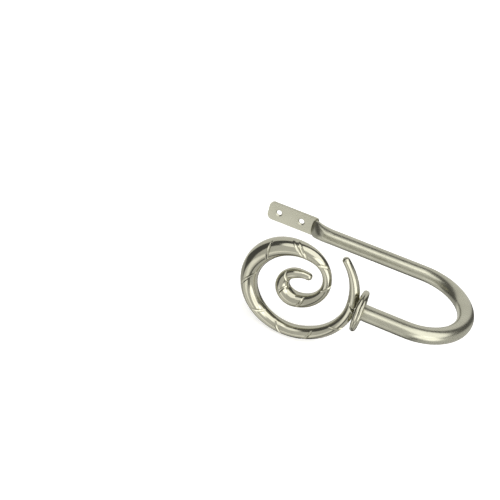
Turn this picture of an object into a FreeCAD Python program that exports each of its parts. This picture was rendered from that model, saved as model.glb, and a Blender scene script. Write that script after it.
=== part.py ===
import FreeCAD, Part
import math
import os

import Sketcher
from FreeCAD import Placement, Rotation, Vector

# Curtain holdback: a bent tube arm with a flattened screw tab, and a cast scroll on its free leg.
# Millimetres. The wall is the plane Y = 0 and the room is on its -Y side.
# The origin is midway between the two screw holes, on the back of the tab; +X runs along the legs
# from the tab to the bend, and +Z is up.

SIZES = {
    # bent tube arm
    "tube_dia": 16.0,
    "tube_wall": 1.0,
    "bend_radius": 50.8,       # middle line of the bend
    "long_leg": 152.3,         # screw centre to the centre of the bend
    "short_leg": 45.0,         # centre of the bend to the open end of the tube
    # flattened tab and the crimp that runs out of it
    "tab_width": 22.8,
    "tab_tip": 25.2,           # screw centre to the tip
    "tab_root": 24.9,          # screw centre to the start of the crimp
    "tab_corner": 6.5,
    "flange_length": 6.0,      # flat edges of the tab past the start of the crimp
    "flange_corner": 4.0,
    "crimp_length": 28.0,
    "nose_width": 8.0,         # where the crimp rises out of the tab
    "nose_length": 6.5,        # the crimp has spread to its full width here
    "nose_sink": 0.3,          # the nose lies this deep inside the tab, back and front
    "screw_spacing": 26.0,
    "screw_dia": 6.0,
    "sink_dia": 7.8,
    # collar: two crossed strands on a thin web
    "ring_radius": 18.0,       # middle line of a strand
    "strand_dia": 4.8,
    "strand_tilt": 5.0,        # each strand leans this much, one each way
    "cross_turn": 45.0,        # the strands cross this far below the front
    "web_thick": 2.0,
    "web_setback": 2.2,        # middle of the strands to the scroll side of the web
    # stud and plug that draw the scroll on to the tube
    "stud_dia": 6.0,
    "stud_clearance": 0.2,
    "stud_bite": 9.0,          # depth of the stud in the scroll
    "stud_spare": 2.0,         # plug left over past the end of the stud
    "plug_length": 16.0,
    # scroll: radius of each arc of its middle line, and the turn where the arc ends
    "boss_dia": 11.0,
    "boss_rise": 0.5,
    "volute_lift": 1.7,        # upright point of the rod above the axis of the leg
    "tail_radius": 64.0,
    "tail_turn": 45.0,
    "lower_radius": 56.3,
    "lower_end": 74.0,
    "side_radius": 48.5,
    "side_end": 224.0,
    "top_radius": 40.5,
    "top_end": 286.0,
    "inner_radius": 28.0,
    "inner_end": 440.5,
    "eye_radius": 15.0,
    "eye_end": 600.5,
    "curl_radius": 22.7,
    "curl_end": 638.5,
    # scroll: thickness of the rod, and the turn where it has that thickness
    "tail_dia": 7.2,
    "seat_dia": 11.0,
    "bottom_dia": 13.5,
    "left_dia": 16.7,
    "left_turn": 160.0,
    "swell_dia": 19.6,
    "swell_turn": 213.0,
    "neck_dia": 8.7,
    "neck_turn": 345.0,
    "inner_dia": 16.3,
    "inner_turn": 469.0,
    "eye_dia": 10.4,
    "curl_dia": 7.6,
}

VOLUTE_STEP = 15.0             # degrees of turn between two sections of the scroll
CRIMP_SECTIONS = 9
CRIMP_RISE_POWER = 3           # how sharply the crimp rises out of the tab
CRIMP_TAPER_POWER = 2          # how soon its width runs out
ROUND_ANGLE = 45.0             # where the arcs of a round outline meet
FLAT_ANGLE = 90.0              # where the ends of a flat outline meet its straight sides
BORE_START = 0.12              # share of the crimp where the two walls part

doc = FreeCAD.newDocument("curtain_holdback")
sheet = doc.addObject("Spreadsheet::Sheet", "Sizes")
for row, (alias, value) in enumerate(SIZES.items(), start=1):
    sheet.set(f"A{row}", alias)
    sheet.set(f"B{row}", str(value))
    sheet.setAlias(f"B{row}", alias)
doc.recompute()


def size(alias):
    return float(sheet.get(alias))


def add(kind, name, place=None, **formulas):
    """A document object whose properties follow formulas over the sheet."""
    made = doc.addObject(kind, name)
    if place is not None:
        made.Placement = place
    for prop, formula in formulas.items():
        made.setExpression(prop.replace("__", "."), formula)
    return made


def ease(share):
    """Smooth step from 0 to 1."""
    return (1 - math.cos(math.pi * share)) / 2


def fuse(name, shapes):
    made = doc.addObject("Part::MultiFuse", name)
    made.Shapes = shapes
    return made


def cut(name, base, tool):
    made = doc.addObject("Part::Cut", name)
    made.Base = base
    made.Tool = tool
    return made


def bind(sketch, name, rule, formula):
    """A named sketch constraint that follows a formula over the sheet."""
    index = sketch.addConstraint(Sketcher.Constraint(*rule))
    sketch.renameConstraint(index, name)
    sketch.setExpression(f"Constraints.{name}", formula)


START, END, CENTRE = range(1, 4)      # points of a sketch line or arc
ALONG_X = Rotation(Vector(0, 1, 0), 90)
INTO_WALL = Rotation(Vector(1, 0, 0), -90)
LEG_DEPTH = "-Sizes.tube_dia / 2 - 2 * Sizes.bend_radius"
TUBE_END = "Sizes.long_leg - Sizes.short_leg"

tube_radius = size("tube_dia") / 2
tab_thick = 2 * size("tube_wall")
crimp_end = size("tab_root") + size("crimp_length")
tube_end = size("long_leg") - size("short_leg")
leg_depth = -tube_radius - 2 * size("bend_radius")


# Tube arm: the middle line of the tube, two legs and a half turn.

line = doc.addObject("Sketcher::SketchObject", "leg_line")
bend_centre = Vector(size("long_leg"), -tube_radius - size("bend_radius"), 0)
bend = Part.Circle(bend_centre, Vector(0, 0, 1), size("bend_radius"))
long_side = Vector(size("long_leg"), -tube_radius, 0)
short_side = Vector(size("long_leg"), leg_depth, 0)
line.addGeometry(Part.LineSegment(Vector(crimp_end, -tube_radius, 0), long_side))
line.addGeometry(Part.ArcOfCircle(bend, -math.pi / 2, math.pi / 2))
line.addGeometry(Part.LineSegment(short_side, Vector(tube_end, leg_depth, 0)))
for rule in (
    ("Tangent", 0, END, 1, END),
    ("Tangent", 1, START, 2, START),
    ("Horizontal", 0),
    ("Horizontal", 2),
):
    line.addConstraint(Sketcher.Constraint(*rule))
for name, rule, formula in (
    ("bend", ("Radius", 1, size("bend_radius")), "Sizes.bend_radius"),
    ("depth", ("DistanceY", 0, START, -1, START, tube_radius), "Sizes.tube_dia / 2"),
    ("start", ("DistanceX", -1, START, 0, START, crimp_end), "Sizes.tab_root + Sizes.crimp_length"),
    ("reach", ("DistanceX", -1, START, 1, CENTRE, size("long_leg")), "Sizes.long_leg"),
    ("stop", ("DistanceX", -1, START, 2, END, tube_end), TUBE_END),
):
    bind(line, name, rule, formula)


def leg_sweep(name, radius):
    """Round bar along the middle line of the tube."""
    ring = add("Part::Circle", f"{name}_section", Placement(Vector(), ALONG_X), Radius=radius,
               Placement__Base__x="Sizes.tab_root + Sizes.crimp_length",
               Placement__Base__y="-Sizes.tube_dia / 2")
    bar = doc.addObject("Part::Sweep", name)
    bar.Sections = [ring]
    bar.Spine = (line, ["Edge1", "Edge2", "Edge3"])
    bar.Solid = True
    return bar


# Tube arm: the crimp, where the round tube is pressed flat against the wall plane.

def oval(station, back, half_width, half_depth, corner):
    """Closed outline of four arcs that meet without a kink, across the leg at one station.

    back is the distance from the wall. corner is the angle where a side arc meets the front or
    back arc, from ROUND_ANGLE to FLAT_ANGLE, where the front and back are straight."""
    angle = math.radians(corner)
    slope = math.tan((math.pi / 2 - angle) / 2)
    side = (half_depth - slope * half_width) / (math.sin(angle) - slope * (1 - math.cos(angle)))
    corner_z = half_width - side * (1 - math.cos(angle))
    corner_y = side * math.sin(angle)

    def point(y, z):
        return Vector(station, y - half_depth - back, z)

    corners = [point(corner_y, -corner_z), point(corner_y, corner_z),
               point(-corner_y, corner_z), point(-corner_y, -corner_z)]
    middles = [point(half_depth, 0), point(0, half_width), point(-half_depth, 0), point(0, -half_width)]
    edges = []
    for index, middle in enumerate(middles):
        first, last = corners[index], corners[(index + 1) % 4]
        straight = middle.isOnLineSegment(first, last)
        curve = Part.LineSegment(first, last) if straight else Part.Arc(first, middle, last)
        edges.append(curve.toShape())
    return Part.Wire(edges)


def crimp_outline(name, share, inset):
    """The tube's outline at a share of the crimp: 0 is the nose inside the tab, 1 the round tube."""
    nose_depth = tab_thick - 2 * size("nose_sink")
    depth = size("tube_dia") - (size("tube_dia") - nose_depth) * (1 - share) ** CRIMP_RISE_POWER
    width = size("tube_dia") + (size("tab_width") - size("tube_dia")) * (1 - share) ** CRIMP_TAPER_POWER
    blunt = max(0.0, 1 - share * size("crimp_length") / size("nose_length")) ** 2
    width *= math.sqrt(1 - blunt * (1 - (size("nose_width") / size("tab_width")) ** 2))
    half_width = width / 2 - inset
    half_depth = depth / 2 - inset
    slope = math.tan(math.radians(FLAT_ANGLE - ROUND_ANGLE) / 2) * half_depth / half_width
    made = doc.addObject("Part::Feature", name)
    made.Shape = oval(
        station=size("tab_root") + share * size("crimp_length"),
        back=size("nose_sink") * (1 - share) + inset,
        half_width=half_width,
        half_depth=half_depth,
        corner=FLAT_ANGLE - 2 * math.degrees(math.atan(slope)),
    )
    return made


def crimp_loft(name, first_share, inset):
    """Solid through outlines that stand closer together towards the nose."""
    steps = [(step / (CRIMP_SECTIONS - 1)) ** 2 for step in range(CRIMP_SECTIONS)]
    made = doc.addObject("Part::Loft", name)
    made.Sections = [crimp_outline(f"{name}_{index}", first_share + (1 - first_share) * step, inset)
                     for index, step in enumerate(steps)]
    made.Solid = True
    return made


# Tube arm: the flat tab with its rounded tip and two countersunk screw holes.

TAB_END = "Sizes.tab_root + Sizes.flange_length"
tab_end = size("tab_root") + size("flange_length")
half_tab = size("tab_width") / 2
flat_outline = doc.addObject("Part::Feature", "tab_section")
flat_outline.Shape = oval(station=tab_end, back=0.0, half_width=half_tab, half_depth=size("tube_wall"),
                          corner=FLAT_ANGLE)
strip = add("Part::Extrusion", "tab_strip", LengthFwd=f"{TAB_END} + Sizes.tab_tip")
strip.Base = flat_outline
strip.DirMode = "Custom"
strip.Dir = Vector(-1, 0, 0)
strip.Solid = True

blank_body = doc.addObject("PartDesign::Body", "tab_blank")
blank_sketch = blank_body.newObject("Sketcher::SketchObject", "tab_outline")
planes = {plane.Role: plane for plane in blank_body.Origin.OriginFeatures}
blank_sketch.AttachmentSupport = (planes["XZ_Plane"], "")
blank_sketch.MapMode = "FlatFace"
corners = [Vector(-size("tab_tip"), -half_tab, 0), Vector(tab_end, -half_tab, 0),
           Vector(tab_end, half_tab, 0), Vector(-size("tab_tip"), half_tab, 0)]
for index, corner in enumerate(corners):
    blank_sketch.addGeometry(Part.LineSegment(corner, corners[(index + 1) % 4]))
for index in range(4):
    blank_sketch.addConstraint(Sketcher.Constraint("Coincident", index, END, (index + 1) % 4, START))
    blank_sketch.addConstraint(Sketcher.Constraint("Vertical" if index % 2 else "Horizontal", index))
for name, rule, formula in (
    ("tip", ("DistanceX", 0, START, -1, START, size("tab_tip")), "Sizes.tab_tip"),
    ("root", ("DistanceX", -1, START, 0, END, tab_end), TAB_END),
    ("below", ("DistanceY", 0, START, -1, START, half_tab), "Sizes.tab_width / 2"),
    ("width", ("DistanceY", 1, START, 1, END, size("tab_width")), "Sizes.tab_width"),
):
    bind(blank_sketch, name, rule, formula)
blank_pad = blank_body.newObject("PartDesign::Pad", "tab_plate")
blank_pad.Profile = blank_sketch
blank_pad.setExpression("Length", "2 * Sizes.tube_wall")
doc.recompute()
plate = blank_pad
for name, end, radius in (("tip", -1, "Sizes.tab_corner"), ("flange", 1, "Sizes.flange_corner")):
    upright = [
        f"Edge{number}" for number, edge in enumerate(plate.Shape.Edges, start=1)
        if edge.BoundBox.YLength > size("tube_wall") and end * edge.CenterOfMass.x > 0
        and edge.BoundBox.XLength < size("tube_wall")
    ]
    rounded = blank_body.newObject("PartDesign::Fillet", f"{name}_corners")
    rounded.Base = (plate, upright)
    rounded.setExpression("Radius", radius)
    doc.recompute()
    plate = rounded

tab = doc.addObject("Part::Common", "tab")
tab.Base = strip
tab.Tool = blank_body

drills = []                    # each overruns the tab by one wall, front and back
for name, side in (("outer", "-"), ("inner", "")):
    along = f"{side}Sizes.screw_spacing / 2"
    hole = add("Part::Cylinder", f"{name}_screw_hole", Placement(Vector(), INTO_WALL),
               Radius="Sizes.screw_dia / 2", Height="4 * Sizes.tube_wall",
               Placement__Base__x=along, Placement__Base__y="-3 * Sizes.tube_wall")
    sink = add("Part::Cone", f"{name}_countersink", Placement(Vector(), INTO_WALL),
               Radius1="Sizes.sink_dia / 2", Radius2="Sizes.screw_dia / 2",
               Height="(Sizes.sink_dia - Sizes.screw_dia) / 2",
               Placement__Base__x=along, Placement__Base__y="-2 * Sizes.tube_wall")
    drills += [hole, sink]

outside = fuse("arm_outside", [tab, crimp_loft("crimp", 0.0, 0.0), leg_sweep("leg", "Sizes.tube_dia / 2")])
bore = fuse("arm_bore", [crimp_loft("crimp_bore", BORE_START, size("tube_wall")),
                         leg_sweep("leg_bore", "Sizes.tube_dia / 2 - Sizes.tube_wall")])
tube = cut("arm_tube", outside, bore)
tube_arm = cut("tube_arm", tube, fuse("screw_drills", drills))


# Collar: two strands that cross over each other, on a web that the stud passes through.

WEB_FACE = f"{TUBE_END} - Sizes.web_thick"
RING_MIDDLE = f"{WEB_FACE} + Sizes.web_setback"
strands = []
for name, lean in (("first", 1), ("second", -1)):
    turn = Rotation(Vector(1, 0, 0), size("cross_turn"))
    tilt = Rotation(Vector(0, 1, 0), lean * size("strand_tilt"))
    strands.append(add("Part::Torus", f"{name}_strand", Placement(Vector(), turn * tilt * ALONG_X),
                       Radius1="Sizes.ring_radius", Radius2="Sizes.strand_dia / 2",
                       Placement__Base__x=RING_MIDDLE, Placement__Base__y=LEG_DEPTH))
web = add("Part::Cylinder", "collar_web", Placement(Vector(), ALONG_X),
          Radius="Sizes.ring_radius", Height="Sizes.web_thick",
          Placement__Base__x=WEB_FACE, Placement__Base__y=LEG_DEPTH)
web_hole = add("Part::Cylinder", "collar_hole", Placement(Vector(), ALONG_X),
               Radius="Sizes.stud_dia / 2 + Sizes.stud_clearance", Height="Sizes.web_thick",
               Placement__Base__x=WEB_FACE, Placement__Base__y=LEG_DEPTH)
knot_collar = cut("knot_collar", fuse("collar_blank", strands + [web]), web_hole)


# Plug pressed into the open end of the tube, and the stud that it takes.

plug_blank = add("Part::Cylinder", "plug_blank", Placement(Vector(), ALONG_X),
                 Radius="Sizes.tube_dia / 2 - Sizes.tube_wall", Height="Sizes.plug_length",
                 Placement__Base__x=TUBE_END, Placement__Base__y=LEG_DEPTH)
plug_hole = add("Part::Cylinder", "plug_hole", Placement(Vector(), ALONG_X),
                Radius="Sizes.stud_dia / 2", Height="Sizes.plug_length",
                Placement__Base__x=TUBE_END, Placement__Base__y=LEG_DEPTH)
threaded_plug = cut("threaded_plug", plug_blank, plug_hole)

threaded_stud = add("Part::Cylinder", "threaded_stud", Placement(Vector(), ALONG_X),
                    Radius="Sizes.stud_dia / 2",
                    Height="Sizes.stud_bite + Sizes.web_thick + Sizes.plug_length - Sizes.stud_spare",
                    Placement__Base__x=f"{WEB_FACE} - Sizes.stud_bite", Placement__Base__y=LEG_DEPTH)


# Scroll: a rod of changing thickness on a flat volute of arcs, each tangent to the last.
# The volute is measured by how far it has turned from its upright point, beside the leg's axis.

web_face = tube_end - size("web_thick")
seat = Vector(web_face - size("boss_rise") - size("seat_dia") / 2, leg_depth, size("volute_lift"))
ARCS = ("lower", "side", "top", "inner", "eye", "curl")
STATIONS = (
    (-size("tail_turn"), "tail_dia"),
    (0.0, "seat_dia"),
    (size("lower_end"), "bottom_dia"),
    (size("left_turn"), "left_dia"),
    (size("swell_turn"), "swell_dia"),
    (size("neck_turn"), "neck_dia"),
    (size("inner_turn"), "inner_dia"),
    (size("eye_end"), "eye_dia"),
    (size("curl_end"), "curl_dia"),
)


def inward(turn):
    """Direction from the rod to the centre of its arc."""
    return Vector(-math.cos(math.radians(turn)), 0, math.sin(math.radians(turn)))


def volute_point(turn):
    """Middle of the rod where the volute has turned this far."""
    if turn <= 0:
        return seat + (inward(0) - inward(turn)) * size("tail_radius")
    place = Vector(seat)
    begin = 0.0
    for arc in ARCS:
        radius = size(f"{arc}_radius")
        end = min(turn, size(f"{arc}_end"))
        place += (inward(begin) - inward(end)) * radius
        begin = end
        if end == turn:
            break
    return place


def volute_frame(turn):
    """Placement of a section: its Z along the rod, its X towards the centre of the arc."""
    forward = Vector(-math.sin(math.radians(turn)), 0, -math.cos(math.radians(turn)))
    return Placement(volute_point(turn), Rotation(inward(turn), Vector(), forward, "ZXY"))


def rod_radius(turn):
    """Formula for the rod's radius at one turn."""
    for (before, thin), (after, thick) in zip(STATIONS, STATIONS[1:]):
        if turn <= after:
            share = ease((turn - before) / (after - before))
            return f"(Sizes.{thin} + (Sizes.{thick} - Sizes.{thin}) * {share:.6f}) / 2"


def rod_section(name, turn):
    """Round section in two halves, which meet in the scroll's plane as the halves of a mould do."""
    ring = Part.Circle(Vector(), Vector(0, 0, 1), size("seat_dia") / 2)
    made = doc.addObject("Sketcher::SketchObject", name)
    made.Placement = volute_frame(turn)
    made.addGeometry(Part.ArcOfCircle(ring, 0, math.pi))
    made.addGeometry(Part.ArcOfCircle(ring, math.pi, 2 * math.pi))
    for rule in (
        ("Coincident", 0, CENTRE, -1, START),
        ("PointOnObject", 0, START, -1),
        ("PointOnObject", 0, END, -1),
        ("Coincident", 0, END, 1, START),
        ("Coincident", 0, START, 1, END),
        ("PointOnObject", 1, CENTRE, -1),
    ):
        made.addConstraint(Sketcher.Constraint(*rule))
    bind(made, "rod", ("Radius", 0, size("seat_dia") / 2), rod_radius(turn))
    return made


first_turn = -size("tail_turn")
steps = math.ceil((size("curl_end") - first_turn) / VOLUTE_STEP)
turns = [first_turn + (size("curl_end") - first_turn) * step / steps for step in range(steps + 1)]
rod = doc.addObject("Part::Loft", "scroll_rod")
rod.Sections = [rod_section(f"rod_section_{step}", turn) for step, turn in enumerate(turns)]
rod.Solid = True
ends = [
    add("Part::Sphere", f"{name}_end", volute_frame(turn), Radius=f"Sizes.{name}_dia / 2",
        Angle1=low, Angle2=high)
    for name, turn, low, high in (("tail", first_turn, "-90", "0"), ("curl", size("curl_end"), "0", "90"))
]
boss = add("Part::Cylinder", "scroll_boss", Placement(seat, ALONG_X), Radius="Sizes.boss_dia / 2",
           Height="Sizes.seat_dia / 2 + Sizes.boss_rise", Placement__Base__z="0")
stud_hole = add("Part::Cylinder", "scroll_stud_hole", Placement(Vector(), ALONG_X),
                Radius="Sizes.stud_dia / 2", Height="Sizes.stud_bite",
                Placement__Base__x=f"{WEB_FACE} - Sizes.stud_bite", Placement__Base__y=LEG_DEPTH)
scroll_finial = cut("scroll_finial", fuse("scroll_blank", [rod, boss] + ends), stud_hole)


# Check every object, then write the pieces.

doc.recompute()
failed = [item.Name for item in doc.Objects if {"Invalid", "Error"} & set(item.State)]
if failed:
    raise SystemExit(f"not rebuilt: {failed}")
os.makedirs("parts", exist_ok=True)
for piece in (tube_arm, knot_collar, scroll_finial, threaded_plug, threaded_stud):
    if piece.Shape.isNull() or not piece.Shape.isValid():
        raise SystemExit(f"bad shape: {piece.Label}")
    piece.Shape.exportStep(f"parts/{piece.Label}.step")
    print(piece.Label, len(piece.Shape.Solids), "solid", round(piece.Shape.Volume), "mm3")
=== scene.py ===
import math

import bpy
from mathutils import Matrix, Vector


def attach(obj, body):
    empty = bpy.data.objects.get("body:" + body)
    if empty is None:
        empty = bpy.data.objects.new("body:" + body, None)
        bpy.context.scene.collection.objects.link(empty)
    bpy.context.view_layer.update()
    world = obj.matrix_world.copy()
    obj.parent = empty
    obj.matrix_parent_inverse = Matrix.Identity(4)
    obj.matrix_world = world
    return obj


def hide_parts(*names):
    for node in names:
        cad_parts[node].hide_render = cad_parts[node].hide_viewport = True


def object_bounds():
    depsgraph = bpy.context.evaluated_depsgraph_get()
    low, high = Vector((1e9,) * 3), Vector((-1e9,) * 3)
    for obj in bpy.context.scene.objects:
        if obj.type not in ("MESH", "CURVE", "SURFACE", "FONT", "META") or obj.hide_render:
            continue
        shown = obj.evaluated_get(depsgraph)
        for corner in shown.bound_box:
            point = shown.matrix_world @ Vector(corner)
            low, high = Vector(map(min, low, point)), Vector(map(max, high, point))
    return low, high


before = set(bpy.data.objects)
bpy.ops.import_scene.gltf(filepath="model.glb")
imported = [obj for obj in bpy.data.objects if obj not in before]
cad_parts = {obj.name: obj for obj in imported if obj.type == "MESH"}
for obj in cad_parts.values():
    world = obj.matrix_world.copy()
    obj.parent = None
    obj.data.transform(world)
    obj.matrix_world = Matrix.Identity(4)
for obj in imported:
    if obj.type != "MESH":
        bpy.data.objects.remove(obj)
cad_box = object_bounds()

# Tube arm. A steel tube bent into a U, with the end of its long leg pressed flat into a screw tab.
# It is plated in nickel and rubbed to a satin grain before the other pieces go on.

MM = 0.001
CLOUD_SCALE, CLOUD_DETAIL = 45.0, 5.0        # soft clouds of tone, about 22 mm across
CLOUD_EDGES = (0.35, 0.65)                   # where the dull tone ends and the pale one begins
GRAIN_DETAIL, GRAIN_EDGES = 3.0, (0.3, 0.7)
GRAIN_STRENGTH = 0.5


def satin_nickel(name, pale, dull, gloss, grain_size, grain_depth, stretch=(1, 1, 1)):
    """Nickel plate: two close tones in soft clouds, uneven gloss and a fine rubbed grain."""
    made = bpy.data.materials.new(name)
    made.use_nodes = True
    nodes, links = made.node_tree.nodes, made.node_tree.links
    shader = nodes["Principled BSDF"]
    shader.inputs["Metallic"].default_value = 1.0
    place = nodes.new("ShaderNodeTexCoord")

    clouds = nodes.new("ShaderNodeTexNoise")
    clouds.inputs["Scale"].default_value = CLOUD_SCALE
    clouds.inputs["Detail"].default_value = CLOUD_DETAIL
    links.new(place.outputs["Object"], clouds.inputs["Vector"])
    tones = nodes.new("ShaderNodeValToRGB")
    for stop, edge, tone in zip(tones.color_ramp.elements, CLOUD_EDGES, (dull, pale)):
        stop.position = edge
        stop.color = (*tone, 1)
    links.new(clouds.outputs["Fac"], tones.inputs["Fac"])
    links.new(tones.outputs["Color"], shader.inputs["Base Color"])

    turned = nodes.new("ShaderNodeMapping")
    turned.inputs["Scale"].default_value = stretch
    links.new(place.outputs["Object"], turned.inputs["Vector"])
    grain = nodes.new("ShaderNodeTexNoise")
    grain.inputs["Scale"].default_value = 1 / (grain_size * MM)
    grain.inputs["Detail"].default_value = GRAIN_DETAIL
    links.new(turned.outputs["Vector"], grain.inputs["Vector"])
    sheen = nodes.new("ShaderNodeMapRange")
    sheen.inputs["From Min"].default_value = GRAIN_EDGES[0]
    sheen.inputs["From Max"].default_value = GRAIN_EDGES[1]
    sheen.inputs["To Min"].default_value = gloss[0]
    sheen.inputs["To Max"].default_value = gloss[1]
    links.new(grain.outputs["Fac"], sheen.inputs["Value"])
    links.new(sheen.outputs["Result"], shader.inputs["Roughness"])
    rubbed = nodes.new("ShaderNodeBump")
    rubbed.inputs["Strength"].default_value = GRAIN_STRENGTH
    rubbed.inputs["Distance"].default_value = grain_depth * MM
    links.new(grain.outputs["Fac"], rubbed.inputs["Height"])
    links.new(rubbed.outputs["Normal"], shader.inputs["Normal"])
    return made


def finish_node(name, material):
    """Gives a CAD piece its finish."""
    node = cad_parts[name]
    node.data.materials.clear()
    node.data.materials.append(material)


tube_nickel = satin_nickel("tube_nickel", pale=(0.59, 0.585, 0.475), dull=(0.53, 0.525, 0.425),
                           gloss=(0.25, 0.31), grain_size=0.5, grain_depth=0.001,
                           stretch=(0.15, 1, 1))
finish_node("tube_arm", tube_nickel)


# Threaded plug. A turned steel plug pressed into the open end of the tube, left unplated.
# Nothing of it shows once the collar is on.

RING_WAVER = 0.4                             # how far the lathe's rings wander
RING_GLOSS = (0.3, 0.5)
RING_STRENGTH, RING_DEPTH = 0.4, 0.03 * MM


def turned_steel(name, colour, ring_size):
    """Bare machined steel with the fine rings of the lathe tool about the leg's axis."""
    made = bpy.data.materials.new(name)
    made.use_nodes = True
    nodes, links = made.node_tree.nodes, made.node_tree.links
    shader = nodes["Principled BSDF"]
    shader.inputs["Metallic"].default_value = 1.0
    shader.inputs["Base Color"].default_value = (*colour, 1)
    place = nodes.new("ShaderNodeTexCoord")
    rings = nodes.new("ShaderNodeTexWave")
    rings.bands_direction = "X"
    rings.inputs["Scale"].default_value = 1 / (ring_size * MM)
    rings.inputs["Distortion"].default_value = RING_WAVER
    links.new(place.outputs["Object"], rings.inputs["Vector"])
    sheen = nodes.new("ShaderNodeMapRange")
    sheen.inputs["To Min"].default_value = RING_GLOSS[0]
    sheen.inputs["To Max"].default_value = RING_GLOSS[1]
    links.new(rings.outputs["Fac"], sheen.inputs["Value"])
    links.new(sheen.outputs["Result"], shader.inputs["Roughness"])
    tooled = nodes.new("ShaderNodeBump")
    tooled.inputs["Strength"].default_value = RING_STRENGTH
    tooled.inputs["Distance"].default_value = RING_DEPTH
    links.new(rings.outputs["Fac"], tooled.inputs["Height"])
    links.new(tooled.outputs["Normal"], shader.inputs["Normal"])
    return made


plug_steel = turned_steel("plug_steel", colour=(0.52, 0.51, 0.50), ring_size=1.2)
finish_node("threaded_plug", plug_steel)


# Threaded stud. A steel stud screwed into the plug, which draws the scroll and the collar on.
# It is left bare, and it lies wholly inside them.

stud_steel = turned_steel("stud_steel", colour=(0.46, 0.46, 0.47), ring_size=2.0)
finish_node("threaded_stud", stud_steel)


# Knot collar. A cast ring of two strands that cross over each other, closed by a thin web.
# It is nickel plated and slipped over the stud, between the tube and the scroll.

collar_nickel = satin_nickel("collar_nickel", pale=(0.58, 0.57, 0.46), dull=(0.48, 0.47, 0.38),
                             gloss=(0.14, 0.22), grain_size=0.6, grain_depth=0.006)
finish_node("knot_collar", collar_nickel)


# Scroll finial. A cast rod of changing thickness, curled into a flat volute with rounded ends,
# with slanting cuts chased across its front. It is nickel plated and screwed on to the stud.

SEAT = Vector((99.3, -109.6, 1.7)) * MM      # upright point of the rod, beside the end of the tube
TAIL = (64.0, -45.0)                         # radius of the tail's arc, and where it starts
ARCS = ((56.3, 74.0), (48.5, 224.0), (40.5, 286.0),
        (28.0, 440.5), (15.0, 600.5), (22.7, 638.5))      # each arc's radius, and where it ends
THICKNESS = ((-45.0, 7.2), (0.0, 11.0), (74.0, 13.5), (160.0, 16.7), (213.0, 19.6),
             (345.0, 8.7), (469.0, 16.3), (600.5, 10.4), (638.5, 7.6))
ROUND = 64                                   # points round the rod
TURN_STEP = 3.0                              # degrees of turn between two rings
CAP_STEPS = 8                                # rings on a rounded end
FACET_ROOM = 0.02 * MM                       # the fine rings stay inside the coarser solid
SMOOTH_BELOW = math.radians(28.0)            # flatter edges than this look smooth


def inward(turn):
    """Direction from the rod to the centre of its arc."""
    return Vector((-math.cos(math.radians(turn)), 0, math.sin(math.radians(turn))))


def heading(turn):
    """Direction in which the rod runs."""
    return Vector((-math.sin(math.radians(turn)), 0, -math.cos(math.radians(turn))))


def rod_middle(turn):
    """Middle of the rod where the volute has turned this far."""
    if turn <= 0:
        return SEAT + (inward(0) - inward(turn)) * TAIL[0] * MM
    place, begin = SEAT.copy(), 0.0
    for radius, end in ARCS:
        place += (inward(begin) - inward(min(turn, end))) * radius * MM
        begin = end
        if turn <= end:
            return place


def rod_radius(turn):
    """Half the rod's thickness, eased from one measured turn to the next."""
    for (before, thin), (after, thick) in zip(THICKNESS, THICKNESS[1:]):
        if turn <= after:
            share = (1 - math.cos(math.pi * (turn - before) / (after - before))) / 2
            return (thin + (thick - thin) * share) * MM / 2 - FACET_ROOM


def draw_out(move, turn_by, centre, size):
    """Extrudes the open ring, carries it along, turns it about its new centre and resizes it."""
    bpy.ops.mesh.extrude_region_move(TRANSFORM_OT_translate={"value": move})
    if turn_by:
        bpy.ops.transform.rotate(value=turn_by, orient_axis="Y", center_override=centre)
    bpy.ops.transform.resize(value=(size, size, size), center_override=centre)


first_turn, last_turn = TAIL[1], ARCS[-1][1]
cap_angles = [math.radians(90.0 * step / CAP_STEPS) for step in range(1, CAP_STEPS + 1)]

bpy.ops.object.select_all(action="DESELECT")
tail_radius = rod_radius(first_turn)
tail_top = rod_middle(first_turn) - heading(first_turn) * tail_radius * math.sin(cap_angles[-2])
bpy.ops.mesh.primitive_circle_add(vertices=ROUND, radius=tail_radius * math.cos(cap_angles[-2]),
                                  location=tail_top,
                                  rotation=(0, math.radians(180.0 + first_turn), 0))
scroll = bpy.context.object
scroll.name = "scroll_finial_cast"
bpy.ops.object.transform_apply(location=True, rotation=True, scale=True)
bpy.ops.object.mode_set(mode="EDIT")
bpy.ops.mesh.select_all(action="SELECT")
for low, high in zip(cap_angles[-2::-1], cap_angles[-3::-1] + [0.0]):
    centre = rod_middle(first_turn) - heading(first_turn) * tail_radius * math.sin(high)
    draw_out(heading(first_turn) * tail_radius * (math.sin(low) - math.sin(high)), 0, centre,
             math.cos(high) / math.cos(low))
steps = round((last_turn - first_turn) / TURN_STEP)
turns = [first_turn + (last_turn - first_turn) * step / steps for step in range(steps + 1)]
for turn, onward in zip(turns, turns[1:]):
    draw_out(rod_middle(onward) - rod_middle(turn), -math.radians(onward - turn),
             rod_middle(onward), rod_radius(onward) / rod_radius(turn))
curl_radius = rod_radius(last_turn)
for low, high in zip([0.0] + cap_angles, cap_angles[:-1]):
    centre = rod_middle(last_turn) + heading(last_turn) * curl_radius * math.sin(high)
    draw_out(heading(last_turn) * curl_radius * (math.sin(high) - math.sin(low)), 0, centre,
             math.cos(high) / math.cos(low))
bpy.ops.mesh.select_all(action="DESELECT")
bpy.ops.mesh.select_mode(type="VERT")
bpy.ops.mesh.select_non_manifold()
bpy.ops.mesh.edge_face_add()
bpy.ops.mesh.select_all(action="SELECT")
bpy.ops.mesh.normals_make_consistent(inside=False)
bpy.ops.object.mode_set(mode="OBJECT")

# A short boss on the rod seats on the web of the collar, and a hole in it takes the stud.
BOSS_RADIUS = 5.5 * MM
BOSS_FACE = 105.3 * MM                       # where the boss meets the collar
HOLE_RADIUS = 3.0 * MM
HOLE_DEPTH = 9.0 * MM


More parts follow.
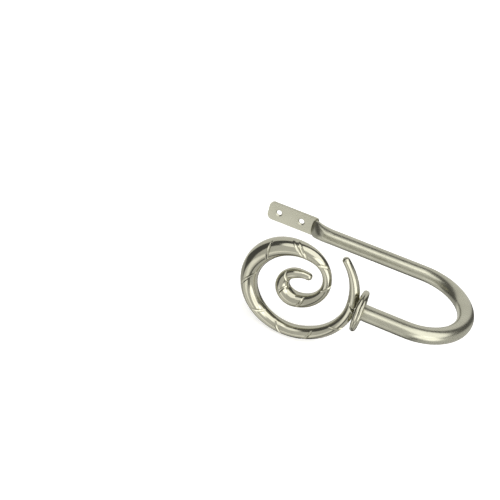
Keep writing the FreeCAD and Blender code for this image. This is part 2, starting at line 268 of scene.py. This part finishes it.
def work_scroll(operation, tool):
    """Joins a tool's shape to the scroll or cuts it out, and takes the tool away."""
    bpy.ops.object.select_all(action="DESELECT")
    scroll.select_set(True)
    bpy.context.view_layer.objects.active = scroll
    worked = scroll.modifiers.new("worked", "BOOLEAN")
    worked.operation = operation
    worked.solver = "EXACT"
    worked.use_self = True
    worked.object = tool
    bpy.ops.object.modifier_apply(modifier=worked.name)
    bpy.data.objects.remove(tool)


for operation, radius, begin, end in (
    ("UNION", BOSS_RADIUS, SEAT.x, BOSS_FACE),
    ("DIFFERENCE", HOLE_RADIUS, BOSS_FACE - HOLE_DEPTH, BOSS_FACE + HOLE_DEPTH),
):
    bpy.ops.object.select_all(action="DESELECT")
    bpy.ops.mesh.primitive_cylinder_add(vertices=ROUND, radius=radius, depth=end - begin,
                                        location=((begin + end) / 2, SEAT.y, 0),
                                        rotation=(0, math.radians(90.0), 0))
    bpy.ops.object.transform_apply(location=True, rotation=True, scale=True)
    work_scroll(operation, bpy.context.object)

# Each cut is (turn, lean, middle): where its line crosses the front of the rod, how far it leans
# from square, and how far round from the front its middle lies, inward if above 0.
CUTS = ((-2, -50, -25), (31, 50, -20), (62, -52, -10), (96, 50, 5), (133, -46, 15),
        (176, 56, 5), (224, -46, -10), (271, 50, -30), (277, 50, -30), (306, -52, -25),
        (366, 54, -25), (430, -45, 0), (515, 40, 0), (574, -36, 0))
CUT_DEPTH = 1.05 * MM
CUT_REACH = math.radians(60.0)               # a cut runs out this far round from its middle
TOOL_RADIUS = 1.9 * MM                       # the tool has a round nose
TOOL_ROUNDING = 4                            # fineness of that nose
TOOL_POINTS = 29                             # points on the path of the tool
TOOL_OVERRUN = 1.2                           # share of the reach where the path ends, off the rod
MERGE = 0.001 * MM                           # points closer than this become one


def arc_radius(turn):
    """Radius of the volute at one turn."""
    if turn <= 0:
        return TAIL[0] * MM
    return next(radius for radius, end in ARCS if turn <= end) * MM


bpy.ops.object.select_all(action="DESELECT")
tools = []
for turn, lean, middle in CUTS:
    path = bpy.data.curves.new("tool_path", "CURVE")
    path.dimensions = "3D"
    path.bevel_depth = TOOL_RADIUS
    path.bevel_resolution = TOOL_ROUNDING
    path.use_fill_caps = True
    track = path.splines.new("POLY")
    track.points.add(TOOL_POINTS - 1)
    for index, point in enumerate(track.points):
        share = TOOL_OVERRUN * (2 * index / (TOOL_POINTS - 1) - 1)
        around = math.radians(middle) + CUT_REACH * share
        aside = math.sin(around)
        along = math.tan(math.radians(lean)) * rod_radius(turn) * aside
        here = turn + math.degrees(along / arc_radius(turn))
        lift = rod_radius(here) + TOOL_RADIUS - CUT_DEPTH * math.cos(math.pi / 2 * share)
        outward = inward(here) * aside - Vector((0, math.cos(around), 0))
        point.co = (*(rod_middle(here) + outward * lift), 1)
    tool = bpy.data.objects.new("tool", path)
    bpy.context.scene.collection.objects.link(tool)
    tool.select_set(True)
    tools.append(tool)
bpy.context.view_layer.objects.active = tools[0]
bpy.ops.object.convert(target="MESH")
bpy.ops.object.join()
cutter = bpy.context.object
bpy.ops.object.mode_set(mode="EDIT")
bpy.ops.mesh.select_all(action="SELECT")
bpy.ops.mesh.remove_doubles(threshold=MERGE)
bpy.ops.mesh.normals_make_consistent(inside=False)
bpy.ops.object.mode_set(mode="OBJECT")
work_scroll("DIFFERENCE", cutter)
bpy.ops.object.mode_set(mode="EDIT")
bpy.ops.mesh.select_all(action="SELECT")
bpy.ops.mesh.remove_doubles(threshold=MERGE)
bpy.ops.mesh.dissolve_degenerate(threshold=MERGE)
bpy.ops.object.mode_set(mode="OBJECT")
bpy.ops.object.shade_smooth_by_angle(angle=SMOOTH_BELOW)

scroll_nickel = satin_nickel("scroll_nickel", pale=(0.60, 0.59, 0.475), dull=(0.52, 0.51, 0.41),
                             gloss=(0.10, 0.17), grain_size=0.6, grain_depth=0.004)
scroll.data.materials.append(scroll_nickel)
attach(scroll, "root")
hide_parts("scroll_finial")


# Stage. A plain pale floor just under the scroll, which the metal doesn't mirror, a soft lamp for
# the floor, a dark room with soft panels that the metal does mirror, and the camera.

FLOOR_SIZE = 12.0
FLOOR_GAP = 2.0 * MM
FLOOR_PAINT, FLOOR_GLOW = (0.86, 0.86, 0.85, 1), (1.0, 1.0, 0.99, 1)
FLOOR_ROUGHNESS, GLOW_STRENGTH = 0.9, 0.5
bpy.ops.object.select_all(action="DESELECT")
bpy.ops.mesh.primitive_plane_add(size=FLOOR_SIZE, location=(0.1, 0, cad_box[0][2] - FLOOR_GAP))
floor = bpy.context.object
floor.name = "floor"
floor_paint = bpy.data.materials.new("floor_paint")
floor_paint.use_nodes = True
paint = floor_paint.node_tree.nodes["Principled BSDF"]
paint.inputs["Base Color"].default_value = FLOOR_PAINT
paint.inputs["Roughness"].default_value = FLOOR_ROUGHNESS
paint.inputs["Emission Color"].default_value = FLOOR_GLOW
paint.inputs["Emission Strength"].default_value = GLOW_STRENGTH
floor.data.materials.append(floor_paint)
floor.visible_glossy = False
floor.visible_shadow = False


def way_to(azimuth, elevation):
    """Direction from the part. Azimuth 0 is behind it, and 90 to its right."""
    around, above = math.radians(azimuth), math.radians(elevation)
    return Vector((math.sin(around) * math.cos(above), math.cos(around) * math.cos(above),
                   math.sin(above)))


LAMP_TARGET = Vector((93.0, -60.0, 0.0)) * MM
LAMP_WAY = way_to(azimuth=150, elevation=60)
LAMP_DISTANCE, LAMP_SIDE, LAMP_POWER = 1.3, 1.2, 4.8
lamp = bpy.data.lights.new("key_box", "AREA")
lamp.shape = "RECTANGLE"
lamp.size, lamp.size_y = LAMP_SIDE, LAMP_SIDE
lamp.energy = LAMP_POWER
key_box = bpy.data.objects.new("key_box", lamp)
bpy.context.scene.collection.objects.link(key_box)
key_box.location = LAMP_TARGET + LAMP_WAY * LAMP_DISTANCE
key_box.rotation_euler = LAMP_WAY.to_track_quat("Z", "Y").to_euler()
key_box.visible_glossy = False

# Each panel of the room is (azimuth, elevation, half width in degrees, strength).
PANELS = ((189, -5, 39, 0.55), (129, 50, 35, 1.5), (-27, 16, 53, 0.67), (207, -54, 26, 0.65),
          (86, -31, 48, 0.5), (-65, -53, 31, 0.36), (137, -2, 24, 1.6), (203, 45, 17, 1.17))
PANEL_BLUR = 8                               # degrees over which the edge of a panel fades
ROOM_DARK, ROOM_PALE = 0.1, 1.0              # what the metal mirrors, and what the camera sees
ROOM_TINT = (1.0, 0.99, 0.97, 1)
world = bpy.data.worlds.new("studio")
world.use_nodes = True
nodes, links = world.node_tree.nodes, world.node_tree.links
gaze = nodes.new("ShaderNodeTexCoord")
total = None
for azimuth, elevation, half_width, strength in PANELS:
    facing = nodes.new("ShaderNodeVectorMath")
    facing.operation = "DOT_PRODUCT"
    facing.inputs[1].default_value = way_to(azimuth, elevation)
    links.new(gaze.outputs["Generated"], facing.inputs[0])
    glow = nodes.new("ShaderNodeMapRange")
    glow.interpolation_type = "SMOOTHSTEP"
    glow.inputs["From Min"].default_value = math.cos(math.radians(half_width + PANEL_BLUR / 2))
    glow.inputs["From Max"].default_value = math.cos(math.radians(half_width - PANEL_BLUR / 2))
    glow.inputs["To Max"].default_value = strength
    links.new(facing.outputs["Value"], glow.inputs["Value"])
    added = nodes.new("ShaderNodeMath")
    added.inputs[1].default_value = ROOM_DARK
    links.new(glow.outputs["Result"], added.inputs[0])
    if total:
        links.new(total.outputs["Value"], added.inputs[1])
    total = added
ray = nodes.new("ShaderNodeLightPath")
room = nodes.new("ShaderNodeMix")
room.inputs["B"].default_value = ROOM_PALE
links.new(ray.outputs["Is Camera Ray"], room.inputs["Factor"])
links.new(total.outputs["Value"], room.inputs["A"])
nodes["Background"].inputs["Color"].default_value = ROOM_TINT
links.new(room.outputs["Result"], nodes["Background"].inputs["Strength"])
bpy.context.scene.world = world

CAMERA_PLACE = Vector((0.12482, -0.68081, 0.42818))
CAMERA_RIGHT = Vector((0.91025, 0.35996, 0.20462))
CAMERA_UP = Vector((-0.36966, 0.48388, 0.79323))
CAMERA_BACK = Vector((0.18652, -0.79768, 0.57352))
LENS, SENSOR, CLIP_START = 54.28, 36.0, 0.01
lens = bpy.data.cameras.new("camera")
lens.sensor_width = SENSOR
lens.lens = LENS
lens.clip_start = CLIP_START
camera = bpy.data.objects.new("camera", lens)
bpy.context.scene.collection.objects.link(camera)
aim = Matrix((CAMERA_RIGHT, CAMERA_UP, CAMERA_BACK)).transposed().to_4x4()
aim.translation = CAMERA_PLACE
camera.matrix_world = aim
bpy.context.scene.camera = camera
bpy.context.scene.view_settings.view_transform = "Standard"
